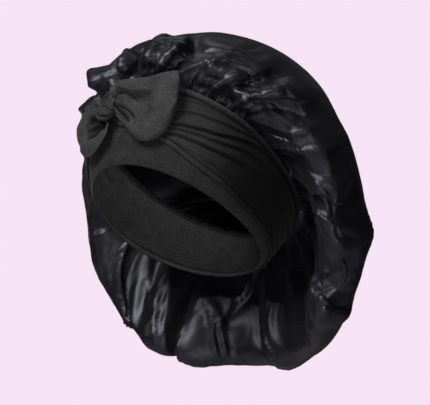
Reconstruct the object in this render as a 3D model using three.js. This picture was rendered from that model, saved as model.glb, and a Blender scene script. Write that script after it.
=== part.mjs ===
import * as THREE from 'three';

// Sleep bonnet held in its worn shape. Millimetres, +Z up, the face toward -Y, wearer's left +X.
// The origin is the centre of the head opening's lower edge. Clock angles run 0 at the brow,
// 90 at the wearer's left, 180 at the nape and 270 at the wearer's right.

const TILT = 27; // degrees the band's ring is raised at the brow
const OPENING_DEPTH = 95; // half of the opening, brow to nape
const OPENING_WIDTH = 83; // half of the opening, side to side
const FLARE_DEPTH = 18; // how much the band widens toward its rear edge
const FLARE_WIDTH = 17;
const BAND_HEIGHT = 60; // height at which the flare is complete
const REAR_LEAN = 8; // forward lean of the rear edge
const EAR_DIP = 6; // how far the lower edge dips at the sides
const CLOTH = 2.0; // jersey wall
const SATIN = 1.6; // satin wall
const STRAP_GAP = 0.7; // air between the band and the tie over it
const ELASTIC_RADIUS = 2.2;

const BAG_CENTRE = [0, 62, 28];
const BAG_TILT = 20; // degrees the bag's rim plane leans
const BAG_DEPTH = 95; // from the rim plane to the back of the bag
const BAG_ROUND = 2.5; // superellipse power of the back
const GATHERS = 24; // small gathers round the seam
const GATHER_HEIGHT = 2.2;

// Height of the band's rear edge round the clock
const BAND_REAR = [
  { clock: 0, height: 74 }, { clock: 45, height: 73 }, { clock: 75, height: 69 },
  { clock: 100, height: 62 }, { clock: 130, height: 57 }, { clock: 180, height: 57 },
  { clock: 230, height: 60 }, { clock: 270, height: 66 }, { clock: 315, height: 71 },
];

// Lower and upper edge of a tie, by angle away from the knot
const TIE = [
  { away: 4, low: 35, high: 48 }, { away: 10, low: 31, high: 60 }, { away: 20, low: 27, high: 72 },
  { away: 37, low: 22, high: 77 }, { away: 59, low: 13, high: 75 }, { away: 76, low: 10, high: 72 },
  { away: 91, low: 7, high: 67 }, { away: 112, low: 6, high: 62 }, { away: 140, low: 5, high: 60 },
  { away: 179.6, low: 4, high: 60 },
];

// Pleats in a tie: where each runs between the lower edge (0) and the upper edge (1)
const PLEATS = [
  { near_knot: 0.3, at_ear: 0.44, at_nape: 0.42, height: 1.5 },
  { near_knot: 0.52, at_ear: 0.62, at_nape: 0.6, height: 1.4 },
  { near_knot: 0.72, at_ear: 0.82, at_nape: 0.8, height: 1.2 },
];

// Bag rim: reach from the bag's centre, shift of the rim along the bag's axis, and how full
// the front bulges before the rim, as a share of the distance from the seam
const BAG_RIM = [
  { clock: 0, reach: 178, shift: -28, full: 0.45 },
  { clock: 45, reach: 173, shift: -11, full: 0.38 },
  { clock: 90, reach: 155, shift: 4, full: 0.26 },
  { clock: 135, reach: 170, shift: -8, full: 0.34 },
  { clock: 180, reach: 183, shift: 36, full: 0.50 },
  { clock: 225, reach: 174, shift: -38, full: 0.45 },
  { clock: 270, reach: 180, shift: -28, full: 0.42 },
  { clock: 315, reach: 166, shift: -28, full: 0.45 },
];

// Folds of the satin. Run: 0 at the seam, 1 at the rim, 2 at the back of the bag.
const FOLDS = [
  { clock: 330, drift: 4, from: 0.1, to: 0.75, width: 7, height: 9 },
  { clock: 340, drift: 3, from: 0.1, to: 0.7, width: 4, height: -7 },
  { clock: 350, drift: 4, from: 0.1, to: 0.8, width: 6, height: 8 },
  { clock: 358, drift: 4, from: 0.1, to: 0.9, width: 3.5, height: -7 },
  { clock: 5, drift: 6, from: 0.1, to: 1.0, width: 5, height: 7 },
  { clock: 12, drift: 6, from: 0.1, to: 1.1, width: 3.5, height: -5 },
  { clock: 24, drift: -10, from: 0.15, to: 1.3, width: 5, height: 6 },
  { clock: 34, drift: -6, from: 0.2, to: 1.4, width: 5, height: -5 },
  { clock: 52, drift: -3, from: 0.5, to: 1.7, width: 6, height: 8 },
  { clock: 61, drift: -1, from: 0.4, to: 1.7, width: 5, height: -9 },
  { clock: 75, drift: 0, from: 0.5, to: 1.6, width: 6, height: 5 },
  { clock: 97, drift: -4, from: 0.3, to: 1.6, width: 6, height: -6 },
  { clock: 106, drift: 12, from: 0.5, to: 1.7, width: 5, height: 7 },
  { clock: 118, drift: 14, from: 0.5, to: 1.7, width: 7, height: -12 },
  { clock: 150, drift: 2, from: 0.2, to: 1.5, width: 7, height: 5 },
  { clock: 164, drift: 0, from: 0.2, to: 1.5, width: 5, height: -6 },
  { clock: 182, drift: -2, from: 0.15, to: 1.5, width: 7, height: 8 },
  { clock: 196, drift: 2, from: 0.15, to: 1.4, width: 5, height: -7 },
  { clock: 205, drift: -3, from: 0.2, to: 1.3, width: 4, height: 5 },
  { clock: 213, drift: -2, from: 0.1, to: 1.4, width: 4, height: -8 },
  { clock: 225, drift: -3, from: 0.15, to: 1.4, width: 5, height: 6 },
  { clock: 236, drift: -4, from: 0.15, to: 1.2, width: 3.5, height: -5 },
  { clock: 246, drift: -6, from: 0.15, to: 1.3, width: 4, height: 6 },
  { clock: 256, drift: -4, from: 0.2, to: 1.3, width: 5, height: -5 },
  { clock: 285, drift: 0, from: 0.2, to: 1.4, width: 8, height: 5 },
  { clock: 305, drift: 0, from: 0.2, to: 1.4, width: 7, height: -5 },
];

// Knot of the bow: its middle on the band and its half sizes
const KNOT = { clock: 3, height: 41, out: 14.6, wide: 13.6, tall: 12.6, deep: 7.6, grooves: 5 };

// The two tails, from the knot outward: the two long edges as clock and height, and how far
// the cloth stands off the band at the first edge, at a quarter, half and three quarters
// of the way over, and at the second edge
const TAIL_LEFT = [
  { clock_a: 10.4, height_a: 35, clock_b: 9.8, height_b: 47, out: [12, 15, 16, 17, 16] },
  { clock_a: 14.5, height_a: 28, clock_b: 6.2, height_b: 58, out: [13, 12, 18, 20, 19] },
  { clock_a: 20, height_a: 20, clock_b: 11, height_b: 62, out: [13, 11, 17, 22, 21] },
  { clock_a: 25, height_a: 15, clock_b: 18, height_b: 64, out: [13, 13, 16, 20, 21] },
  { clock_a: 30, height_a: 15.5, clock_b: 25, height_b: 66, out: [13, 15, 17, 20, 22] },
  { clock_a: 36, height_a: 22, clock_b: 33, height_b: 77, out: [13, 16, 18, 20, 22] },
  { clock_a: 40.5, height_a: 35, clock_b: 38.4, height_b: 82, out: [14, 17, 19, 21, 22] },
  { clock_a: 42, height_a: 52, clock_b: 40.6, height_b: 74, out: [17, 18, 19, 20, 21] },
];
const TAIL_RIGHT = [
  { clock_a: -1.8, height_a: 24, clock_b: -6.6, height_b: 47, out: [13, 14, 15, 15, 14] },
  { clock_a: -1, height_a: 16, clock_b: -12.9, height_b: 53, out: [12, 16, 12, 17, 14] },
  { clock_a: -5, height_a: 11, clock_b: -21, height_b: 51, out: [11, 16, 12, 18, 14] },
  { clock_a: -12.5, height_a: 7.5, clock_b: -28, height_b: 47, out: [11, 16, 13, 18, 15] },
  { clock_a: -22, height_a: 11, clock_b: -27.5, height_b: 33, out: [12, 15, 14, 16, 15] },
];

const RINGS = 96; // columns round the bag
const STEPS = 15; // rows from the bag's seam to its back

const rad = THREE.MathUtils.degToRad;
const FORWARD = new THREE.Vector3(0, -Math.cos(rad(TILT)), Math.sin(rad(TILT)));
const UPWARD = new THREE.Vector3(0, Math.sin(rad(TILT)), Math.cos(rad(TILT)));
const SIDE = new THREE.Vector3(1, 0, 0);

// Smooth closed or open run through table rows (Hermite with averaged slopes)
function follow(rows, key, name, at, closed) {
  const n = rows.length;
  const wrap = (i) => (closed ? (i + n) % n : Math.min(Math.max(i, 0), n - 1));
  const x = (i) => rows[wrap(i)][key] + (closed ? 360 * Math.floor(i / n) : 0);
  const y = (i) => rows[wrap(i)][name];
  const a = closed ? ((at % 360) + 360) % 360 : Math.min(Math.max(at, x(0)), x(n - 1));
  let i = 0;
  while (i < n - 1 && x(i + 1) <= a) i += 1;
  if (!closed && i === n - 1) return y(i);
  const slope = (k) => {
    const left = closed || k > 0 ? (y(k) - y(k - 1)) / (x(k) - x(k - 1)) : null;
    const right = closed || k < n - 1 ? (y(k + 1) - y(k)) / (x(k + 1) - x(k)) : null;
    if (left === null) return right;
    if (right === null) return left;
    return left * right <= 0 ? 0 : (2 * left * right) / (left + right);
  };
  const w = x(i + 1) - x(i);
  const t = (a - x(i)) / w;
  return (
    y(i) * (1 + 2 * t) * (1 - t) ** 2 + slope(i) * w * t * (1 - t) ** 2 +
    y(i + 1) * t * t * (3 - 2 * t) + slope(i + 1) * w * t * t * (t - 1)
  );
}

// A point over the head: clock angle, height above the lower edge, distance off the band
function onHead(clock, height, out) {
  const s = height / BAND_HEIGHT;
  const flare = s < 1 ? 1 - (1 - Math.max(s, 0)) ** 1.8 : 1;
  const along = (OPENING_DEPTH + FLARE_DEPTH * flare + out) * Math.cos(rad(clock)) + REAR_LEAN * s;
  const across = (OPENING_WIDTH + FLARE_WIDTH * flare + out) * Math.sin(rad(clock));
  const dip = EAR_DIP * Math.sin(rad(clock)) ** 2 * (1 - Math.min(Math.max(s, 0), 1));
  return new THREE.Vector3()
    .addScaledVector(UPWARD, height - dip)
    .addScaledVector(FORWARD, along)
    .addScaledVector(SIDE, across);
}

const bandRear = (clock) => follow(BAND_REAR, 'clock', 'height', clock, true);

// The smooth bag: a curve leaves the seam outward, reaches the rim, then rounds to the back
function bagBase(clock, run) {
  const lean = rad(BAG_TILT);
  const axis = new THREE.Vector3(0, Math.cos(lean), Math.sin(lean));
  const spoke = new THREE.Vector3(0, -Math.sin(lean), Math.cos(lean))
    .multiplyScalar(Math.cos(rad(clock)))
    .addScaledVector(SIDE, Math.sin(rad(clock)));
  const reach = follow(BAG_RIM, 'clock', 'reach', clock, true);
  const shift = follow(BAG_RIM, 'clock', 'shift', clock, true);
  const full = follow(BAG_RIM, 'clock', 'full', clock, true);
  const centre = new THREE.Vector3(...BAG_CENTRE);
  if (run <= 1) {
    const seam = onHead(clock, bandRear(clock) + 2 * ELASTIC_RADIUS + 1.4, 0);
    const rim = centre.clone().addScaledVector(spoke, reach).addScaledVector(axis, shift);
    const leave = new THREE.Vector3()
      .addScaledVector(FORWARD, 0.85 * Math.cos(rad(clock)))
      .addScaledVector(SIDE, 0.85 * Math.sin(rad(clock)))
      .addScaledVector(UPWARD, 0.6)
      .normalize();
    const length = seam.distanceTo(rim);
    return new THREE.CubicBezierCurve3(
      seam,
      seam.clone().addScaledVector(leave, 0.45 * length),
      rim.clone().addScaledVector(axis, -full * length),
      rim,
    ).getPoint(run);
  }
  const turn = ((run - 1) * Math.PI) / 2;
  const c = Math.max(Math.cos(turn), 0) ** (2 / BAG_ROUND);
  const s = Math.sin(turn) ** (2 / BAG_ROUND);
  return centre
    .addScaledVector(spoke, reach * c)
    .addScaledVector(axis, shift + (BAG_DEPTH - shift) * s);
}

const ease = (t) => { const u = Math.min(Math.max(t, 0), 1); return u * u * (3 - 2 * u); };

// How far the satin stands out of the smooth bag
function foldHeight(clock, run) {
  let total = GATHER_HEIGHT * Math.cos(rad(GATHERS * clock)) * ease(run / 0.12) * (1 - ease(run / 0.9));
  for (const fold of FOLDS) {
    const middle = fold.clock + fold.drift * run;
    const off = ((((clock - middle) % 360) + 540) % 360) - 180;
    const ends = ease((run - fold.from) / 0.3 + 0.5) * ease((fold.to - run) / 0.3);
    total += fold.height * Math.exp(-((off / fold.width) ** 2)) * ends;
  }
  return total;
}

function bagPoint(clock, run, depth) {
  const centre = bagBase(clock, run);
  const round = bagBase(clock + 1, run).sub(bagBase(clock - 1, run));
  const along = bagBase(clock, Math.min(run + 0.02, 1.995)).sub(bagBase(clock, Math.max(run - 0.02, 0)));
  const out = round.cross(along).normalize();
  return centre.addScaledVector(out, foldHeight(clock, run) - depth);
}

// A closed body from an outer and an inner grid of points: rows run round or along,
// and each row goes across. Rows may close on themselves, and may end in one shared tip.
function sheet(outer, inner, { closed = false, tips = null } = {}) {
  const points = [];
  const faces = [];
  const rows = outer.length;
  const cols = outer[0].length;
  for (const grid of [outer, inner]) for (const row of grid) points.push(...row);
  const at = (layer, i, j) => (layer * rows + (i % rows)) * cols + j;
  const quad = (a, b, c, d) => faces.push(a, b, c, a, c, d);
  const last = closed ? rows : rows - 1;
  for (let i = 0; i < last; i += 1) {
    for (let j = 0; j < cols - 1; j += 1) {
      quad(at(0, i, j), at(0, i + 1, j), at(0, i + 1, j + 1), at(0, i, j + 1));
      quad(at(1, i, j), at(1, i, j + 1), at(1, i + 1, j + 1), at(1, i + 1, j));
    }
    quad(at(0, i, 0), at(1, i, 0), at(1, i + 1, 0), at(0, i + 1, 0));
    if (tips) {
      points.push(...(i === 0 ? tips : []));
      const tip = 2 * rows * cols;
      faces.push(at(0, i, cols - 1), at(0, i + 1, cols - 1), tip);
      faces.push(at(1, i, cols - 1), tip + 1, at(1, i + 1, cols - 1));
    } else {
      quad(at(0, i, cols - 1), at(0, i + 1, cols - 1), at(1, i + 1, cols - 1), at(1, i, cols - 1));
    }
  }
  if (!closed) {
    for (let j = 0; j < cols - 1; j += 1) {
      quad(at(0, 0, j), at(0, 0, j + 1), at(1, 0, j + 1), at(1, 0, j));
      quad(at(0, last, j), at(1, last, j), at(1, last, j + 1), at(0, last, j + 1));
    }
  }
  return solid(points, faces);
}

// A ring whose rows are closed outlines
function hoop(outlines) {
  const points = outlines.flat();
  const n = outlines.length;
  const m = outlines[0].length;
  const faces = [];
  for (let i = 0; i < n; i += 1) {
    for (let j = 0; j < m; j += 1) {
      const a = i * m + j;
      const b = ((i + 1) % n) * m + j;
      const c = ((i + 1) % n) * m + ((j + 1) % m);
      const d = i * m + ((j + 1) % m);
      faces.push(a, b, c, a, c, d);
    }
  }
  return solid(points, faces);
}

// Indexed geometry with its faces turned outward
function solid(points, faces) {
  let volume = 0;
  const cross = new THREE.Vector3();
  for (let i = 0; i < faces.length; i += 3) {
    volume += points[faces[i]].dot(cross.crossVectors(points[faces[i + 1]], points[faces[i + 2]]));
  }
  if (volume < 0) faces.reverse();
  const geometry = new THREE.BufferGeometry().setFromPoints(points);
  geometry.setIndex(faces);
  geometry.computeVertexNormals();
  return geometry;
}

const range = (n) => Array.from({ length: n }, (_, i) => i);

function crownBag() {
  const grid = (depth) => range(RINGS).map((i) =>
    range(STEPS + 1).map((j) => bagPoint((360 * i) / RINGS, 1.86 * (j / STEPS), depth)));
  const back = bagPoint(0, 1.999, 0);
  const tip = (depth) => bagBase(0, 2).addScaledVector(
    new THREE.Vector3(0, Math.cos(rad(BAG_TILT)), Math.sin(rad(BAG_TILT))), -depth);
  back.copy(tip(0));
  return sheet(grid(0), grid(SATIN), { closed: true, tips: [back, tip(SATIN)] });
}

function headband() {
  const rows = range(72).map((i) => {
    const clock = 5 * i;
    const heights = range(5).map((k) => (bandRear(clock) * k) / 4);
    const wall = (out) => heights.map((h) => onHead(clock, h, out));
    return [wall(CLOTH), wall(0)];
  });
  return sheet(rows.map((r) => r[0]), rows.map((r) => r[1]), { closed: true });
}

function gatherElastic() {
  return hoop(range(72).map((i) => range(6).map((k) => {
    const turn = (Math.PI * k) / 3;
    const height = bandRear(5 * i) + ELASTIC_RADIUS * (1 + Math.sin(turn)) + 0.4;
    return onHead(5 * i, height, ELASTIC_RADIUS * Math.cos(turn));
  })));
}

// A tie wrapped from the nape to the knot, on one side of the head
function tie(sign) {
  const stations = 30;
  const columns = 12;
  const first = TIE[0].away;
  const span = TIE[TIE.length - 1].away - first;
  const layer = (skin) => range(stations).map((i) => {
    const away = first + span * (i / (stations - 1));
    const low = follow(TIE, 'away', 'low', away, false);
    const high = follow(TIE, 'away', 'high', away, false);
    return range(columns).map((j) => {
      const v = j / (columns - 1);
      let rise = 0;
      for (const pleat of PLEATS) {
        const toEar = ease(away / 90);
        const line = pleat.near_knot + (pleat.at_ear - pleat.near_knot) * toEar
          + (pleat.at_nape - pleat.at_ear) * ease((away - 90) / 90);
        rise += pleat.height * Math.exp(-(((v - line) / 0.05) ** 2)) * (1 - ease((away - 80) / 60));
      }
      const hem = j >= columns - 2 ? 0.9 : 0;
      const out = CLOTH + STRAP_GAP + (skin ? CLOTH + rise + hem : 0);
      return onHead(sign * away, low + (high - low) * v, out);
    });
  });
  return sheet(layer(1), layer(0));
}

function knot() {
  const points = [];
  const faces = [];
  const across = 18;
  const down = 10;
  const middle = onHead(KNOT.clock, KNOT.height, KNOT.out);
  const out = onHead(KNOT.clock, KNOT.height, KNOT.out + 1).sub(middle).normalize();
  const tall = onHead(KNOT.clock, KNOT.height + 1, KNOT.out).sub(middle).normalize();
  const wide = tall.clone().cross(out).normalize();
  for (let j = 0; j <= down; j += 1) {
    const polar = (Math.PI * j) / down;
    for (let i = 0; i < (j % down === 0 ? 1 : across); i += 1) {
      const turn = (2 * Math.PI * i) / across;
      const groove = 1 - 0.07 * Math.sin(polar) * (1 + Math.cos(KNOT.grooves * (polar + 0.35 * turn)));
      points.push(middle.clone()
        .addScaledVector(wide, KNOT.wide * groove * Math.cos(polar))
        .addScaledVector(tall, KNOT.tall * groove * Math.sin(polar) * Math.cos(turn))
        .addScaledVector(out, KNOT.deep * groove * Math.sin(polar) * Math.sin(turn)));
    }
  }
  const at = (j, i) => (j === 0 ? 0 : j === down ? points.length - 1 : 1 + (j - 1) * across + (i % across));
  for (let j = 0; j < down; j += 1) {
    for (let i = 0; i < across; i += 1) {
      if (j > 0) faces.push(at(j, i), at(j + 1, i), at(j, i + 1));
      if (j < down - 1) faces.push(at(j, i + 1), at(j + 1, i), at(j + 1, i + 1));
    }
  }
  return solid(points, faces);
}

// A tail of the bow: its table is followed lengthways, and each row is bent across
function tail(table, stations, columns) {
  const rows = table.map((row, k) => ({ ...row, k, ...Object.fromEntries(row.out.map((o, q) => [`o${q}`, o])) }));
  const layer = (lift) => range(stations).map((i) => {
    const k = ((table.length - 1) * i) / (stations - 1);
    const read = (name) => follow(rows, 'k', name, k, false);
    const bend = range(5).map((q) => ({ q, o: read(`o${q}`) }));
    return range(columns).map((j) => {
      const v = j / (columns - 1);
      const clock = read('clock_a') + (read('clock_b') - read('clock_a')) * v;
      const height = read('height_a') + (read('height_b') - read('height_a')) * v;
      return onHead(clock, height, follow(bend, 'q', 'o', 4 * v, false) + lift);
    });
  });
  return sheet(layer(CLOTH), layer(0));
}

const satin = new THREE.MeshStandardMaterial({ name: 'satin', color: 0x16161a, roughness: 0.35 });
const jersey = new THREE.MeshStandardMaterial({ name: 'jersey', color: 0x2b2b2d, roughness: 0.95 });
const parts = {
  crown_bag: [crownBag(), satin],
  headband: [headband(), jersey],
  gather_elastic: [gatherElastic(), jersey],
  tie_left: [tie(1), jersey],
  tie_right: [tie(-1), jersey],
  knot: [knot(), jersey],
  tail_left: [tail(TAIL_LEFT, 15, 11), jersey],
  tail_right: [tail(TAIL_RIGHT, 11, 11), jersey],
};

const bonnet = new THREE.Group();
bonnet.name = 'sleep_bonnet';
for (const [name, [geometry, material]] of Object.entries(parts)) {
  const mesh = new THREE.Mesh(geometry, material);
  mesh.name = name;
  bonnet.add(mesh);
}

export default bonnet;
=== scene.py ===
# %% [markdown]
# # A satin sleep bonnet on a jersey tie band
#
# The bonnet has three kinds of part: a big bag of black satin, a wide charcoal jersey band that
# the bag is gathered onto, and two long ties that wrap round the band and meet in a small bow.
# The imported solids give the true sizes and places. This script builds the finished cloth around
# them. We load the solids first.

import bpy
import numpy as np
from mathutils import Matrix, Vector


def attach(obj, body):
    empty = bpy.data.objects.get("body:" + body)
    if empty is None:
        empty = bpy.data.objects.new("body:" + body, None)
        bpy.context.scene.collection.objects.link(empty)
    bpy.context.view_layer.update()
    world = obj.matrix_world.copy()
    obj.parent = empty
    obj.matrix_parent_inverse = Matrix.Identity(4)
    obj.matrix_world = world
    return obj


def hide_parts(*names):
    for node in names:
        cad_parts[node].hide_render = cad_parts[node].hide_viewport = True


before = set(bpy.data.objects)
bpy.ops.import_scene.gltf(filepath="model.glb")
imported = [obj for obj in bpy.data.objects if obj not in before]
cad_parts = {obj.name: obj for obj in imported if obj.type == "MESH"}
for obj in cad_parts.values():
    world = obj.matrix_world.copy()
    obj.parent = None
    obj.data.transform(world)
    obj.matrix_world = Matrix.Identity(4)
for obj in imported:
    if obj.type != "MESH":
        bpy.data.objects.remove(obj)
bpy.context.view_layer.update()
print("solids:", sorted(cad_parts))

# %% [markdown]
# ## Places on a head
#
# Everything sits on or around a head, so the handiest map is a clock face round the opening:
# 0 at the brow, 90 at the wearer's left ear, 180 at the nape. A second number is the height
# above the band's lower edge, and a third the distance off the band. One function turns these
# three into a point, and it works on whole arrays at once. The values are in millimetres.

# %% The driving sizes and the map of the head
TILT = 27.0  # degrees that the brow side of the band is raised
OPENING = (95.0, 83.0)  # half of the opening: brow to nape, side to side
FLARE = (18.0, 17.0)  # how much the band widens toward its rear edge
BAND_HEIGHT = 60.0
REAR_LEAN = 8.0
EAR_DIP = 6.0

SIDE = np.array([1.0, 0.0, 0.0])
FORWARD = np.array([0.0, -np.cos(np.radians(TILT)), np.sin(np.radians(TILT))])
UPWARD = np.array([0.0, np.sin(np.radians(TILT)), np.cos(np.radians(TILT))])


def on_head(clock, height, out):
    """A point on the band: an ellipse that flares with height, pushed out, on a tilted plane."""
    clock, height, out = np.broadcast_arrays(np.radians(clock), height, out)
    s = height / BAND_HEIGHT
    flare = np.where(s < 1, 1 - (1 - np.clip(s, 0, 1)) ** 1.8, 1.0)
    along = (OPENING[0] + FLARE[0] * flare + out) * np.cos(clock) + REAR_LEAN * s
    across = (OPENING[1] + FLARE[1] * flare + out) * np.sin(clock)
    up = height - EAR_DIP * np.sin(clock) ** 2 * (1 - np.clip(s, 0, 1))
    return up[..., None] * UPWARD + along[..., None] * FORWARD + across[..., None] * SIDE


print("brow and nape of the opening:", on_head(np.array([0, 180]), 0, 0).round(1).tolist())


# %% [markdown]
# ## Soft steps, ridges and short tables
#
# Cloth has no corners, so nearly every shape below is built from three things: a soft step, a
# soft ridge, and a short table read smoothly between its rows. Real cloth is also never even.
# Seeded sums of sine waves give that unevenness, and give the same one each time.


# %% Small helpers for shapes
def ease(t):
    """A soft step: 0 below 0, 1 above 1, and 3t^2 - 2t^3 between."""
    t = np.clip(t, 0, 1)
    return t * t * (3 - 2 * t)


def ridge(x, middle, width):
    """A soft ridge of height 1: the bell curve of the distance from its middle."""
    return np.exp(-(((x - middle) / width) ** 2))


def rows_of(names, *rows):
    """A short table: a list of rows, each with its numbers under the given names."""
    return [dict(zip(names.split(), row)) for row in rows]


def follow(table, name, at, key="clock", loop=360.0):
    """Reads a column of a short table smoothly: cubic pieces with harmonic-mean slopes.

    With a loop, the table repeats, as a clock does.
    """
    x = np.array([row[key] for row in table], float)
    y = np.array([row[name] for row in table], float)
    if loop:
        x, y, at = np.concatenate([x - loop, x, x + loop]), np.tile(y, 3), np.mod(at, loop)
    step = np.diff(x)
    rise = np.diff(y) / step
    slope = np.concatenate([rise[:1], np.zeros(len(x) - 2), rise[-1:]])
    same = rise[:-1] * rise[1:] > 0
    slope[1:-1][same] = (2 * rise[:-1] * rise[1:])[same] / (rise[:-1] + rise[1:])[same]
    i = np.clip(np.searchsorted(x, at, side="right") - 1, 0, len(x) - 2)
    t = np.clip((at - x[i]) / step[i], 0, 1)
    return (
        y[i] * (1 + 2 * t) * (1 - t) ** 2
        + slope[i] * step[i] * t * (1 - t) ** 2
        + y[i + 1] * t * t * (3 - 2 * t)
        + slope[i + 1] * step[i] * t * t * (t - 1)
    )


def ripple(x, y, seed, count=6):
    """Uneven soft ripples, about -1 to 1: a sum of sine waves in seeded directions."""
    rng = np.random.default_rng(seed)
    total = np.zeros(np.broadcast(x, y).shape)
    for angle, phase, pace in zip(
        rng.uniform(0, np.pi, count), rng.uniform(0, 6.28, count), rng.uniform(0.6, 1.5, count)
    ):
        total += np.sin((x * np.cos(angle) + y * np.sin(angle)) * pace + phase)
    return total / np.sqrt(count)


print("height of a ridge one width from its middle:", ridge(1.0, 0.0, 1.0).round(2))


# %% [markdown]
# ## From a grid of points to cloth
#
# Each piece of cloth is worked out as a grid: one way round or along the piece, the other way
# across it. A second grid a cloth's thickness behind gives it a back, and strips round the edges
# close it, so that it is a real sheet and not a paper-thin skin. The map for the weave is laid
# on the same grid in metres, so a thread is as wide on the small bow as on the big bag.


# %% Turn grids into closed cloth
def normals_of(grid, loop):
    """Outward directions of a grid: the cross product of its two ways, made length one."""
    along = np.roll(grid, -1, 0) - np.roll(grid, 1, 0) if loop else np.gradient(grid, axis=0)
    found = np.cross(along, np.gradient(grid, axis=1))
    return found / np.maximum(np.linalg.norm(found, axis=-1, keepdims=True), 1e-9)


def squares(g):
    """The four corners of every square of a grid, in order round it."""
    return np.stack([g[:-1, :-1], g[1:, :-1], g[1:, 1:], g[:-1, 1:]], 2)


def patches(a, b, loop, pole=False):
    """Corners of the four-sided faces on the front grid a, the back grid b and round the edges."""
    front = squares(a)
    back = np.stack([b[:-1, :-1], b[:-1, 1:], b[1:, 1:], b[1:, :-1]], 2)
    found = [g.reshape(-1, *g.shape[2:]) for g in (front, back)]
    found.append(np.stack([a[1:, 0], a[:-1, 0], b[:-1, 0], b[1:, 0]], 1))
    if not pole:
        found.append(np.stack([a[:-1, -1], a[1:, -1], b[1:, -1], b[:-1, -1]], 1))
    if not loop:
        found.append(np.stack([a[0, :-1], a[0, 1:], b[0, 1:], b[0, :-1]], 1))
        found.append(np.stack([a[-1, 1:], a[-1, :-1], b[-1, :-1], b[-1, 1:]], 1))
    return np.concatenate(found)


def mesh_from(name, points, quads, quad_uv, fans=()):
    """A mesh from points in millimetres, four-sided faces, their map, and fans that close poles.

    A fan is the ring of numbers round a pole, the number of its centre, and the map of the ring.
    """
    faces, maps = quads.tolist(), [quad_uv.reshape(-1, 2)]
    for ring, centre, ring_uv in fans:
        faces += np.stack([ring[:-1], ring[1:], np.full(len(ring) - 1, centre)], 1).tolist()
        middle = np.broadcast_to(ring_uv.mean(0), ring_uv[1:].shape)
        maps.append(np.stack([ring_uv[:-1], ring_uv[1:], middle], 1).reshape(-1, 2))
    mesh = bpy.data.meshes.new(name)
    mesh.from_pydata((points * 0.001).tolist(), [], faces)
    layer = mesh.uv_layers.new(name="weave")
    layer.data.foreach_set("uv", (np.concatenate(maps) * 0.001).astype(np.float32).ravel())
    mesh.shade_smooth()
    piece = bpy.data.objects.new(name, mesh)
    bpy.context.scene.collection.objects.link(piece)
    print(name, "faces:", len(faces), "box mm:", np.ptp(points, axis=0).round(0).tolist())
    return piece


def arc_lengths(grid, loop):
    """The map of a grid: mean distance walked along it, and mean distance walked across it."""
    ring = np.concatenate([grid, grid[:1]]) if loop else grid
    steps = np.linalg.norm(np.diff(ring, axis=0), axis=-1).mean(1)
    rises = np.linalg.norm(np.diff(grid, axis=1), axis=-1).mean(0)
    u = np.concatenate([[0], np.cumsum(steps)])
    v = np.concatenate([[0], np.cumsum(rises)])
    return np.stack(np.broadcast_arrays(u[:, None], v[None, :]), -1)


def cloth(name, grid, thickness, loop=False, pole=False):
    """A closed sheet: the grid, a copy a thickness behind it, and strips round the edges.

    With a pole, the last column is a small ring that a fan of triangles closes on each face.
    """
    behind = grid - normals_of(grid, loop) * thickness
    count = grid.shape[0] * grid.shape[1]
    a = np.arange(count).reshape(grid.shape[:2])
    if loop:
        a = np.concatenate([a, a[:1]])
    uv = arc_lengths(grid, loop)
    points = [grid.reshape(-1, 3), behind.reshape(-1, 3)]
    fans = []
    if pole:
        points += [grid[:, -1].mean(0)[None], behind[:, -1].mean(0)[None]]
        fans.append((a[:, -1], 2 * count, uv[:, -1]))
        fans.append((a[::-1, -1] + count, 2 * count + 1, uv[::-1, -1]))
    quads, maps = patches(a, a + count, loop, pole), patches(uv, uv, loop, pole)
    return mesh_from(name, np.concatenate(points), quads, maps, fans)


def tube(name, grid):
    """A closed ring of outlines: both ways of the grid run back to their start."""
    a = np.arange(grid.shape[0] * grid.shape[1]).reshape(grid.shape[:2])
    a = np.concatenate([a, a[:1]])
    a = np.concatenate([a, a[:, :1]], 1)
    ring = np.concatenate([grid, grid[:, :1]], 1)
    maps = squares(arc_lengths(ring, True)).reshape(-1, 4, 2)
    return mesh_from(name, grid.reshape(-1, 3), squares(a).reshape(-1, 4), maps)


def lump(name, grid):
    """A closed lump: the first way of the grid runs round it, and a fan closes each end."""
    a = np.arange(grid.shape[0] * grid.shape[1]).reshape(grid.shape[:2])
    a = np.concatenate([a, a[:1]])
    uv = arc_lengths(grid, True)
    ends = np.stack([grid[:, 0].mean(0), grid[:, -1].mean(0)])
    last = grid.shape[0] * grid.shape[1]
    fans = [(a[::-1, 0], last, uv[::-1, 0]), (a[:, -1], last + 1, uv[:, -1])]
    points = np.concatenate([grid.reshape(-1, 3), ends])
    return mesh_from(name, points, squares(a).reshape(-1, 4), squares(uv).reshape(-1, 4, 2), fans)


print("helpers: cloth for sheets, tube for rings, lump for closed lumps")


# %% [markdown]
# ## Jersey
#
# Stretch jersey is matt and slightly furry: it has no highlight, only a soft lift at grazing
# angles, which a little sheen gives. Its charcoal yarn is heathered, so the colour is uneven at
# the size of a stitch and again at the size of a thumbnail. The knit's fine ribs are waves
# along the piece's own map. Each piece also carries a number at every point, its tone, which the
# colour is multiplied by. The tone is painted light and shade: darker in creases, under pleats
# and on parts turned from the light, lighter on the band's inside face and on rolled edges.


# %% The jersey material
def new_material(name):
    """An empty node material and a short way to add and join its nodes."""
    material = bpy.data.materials.new(name)
    material.use_nodes = True
    tree = material.node_tree
    shader = tree.nodes["Principled BSDF"]

    def node(kind, **settings):
        made = tree.nodes.new(kind)
        for key, value in settings.items():
            if key in made.inputs:
                made.inputs[key].default_value = value
            else:
                setattr(made, key, value)
        return made

    return material, shader, node, tree.links.new


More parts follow.
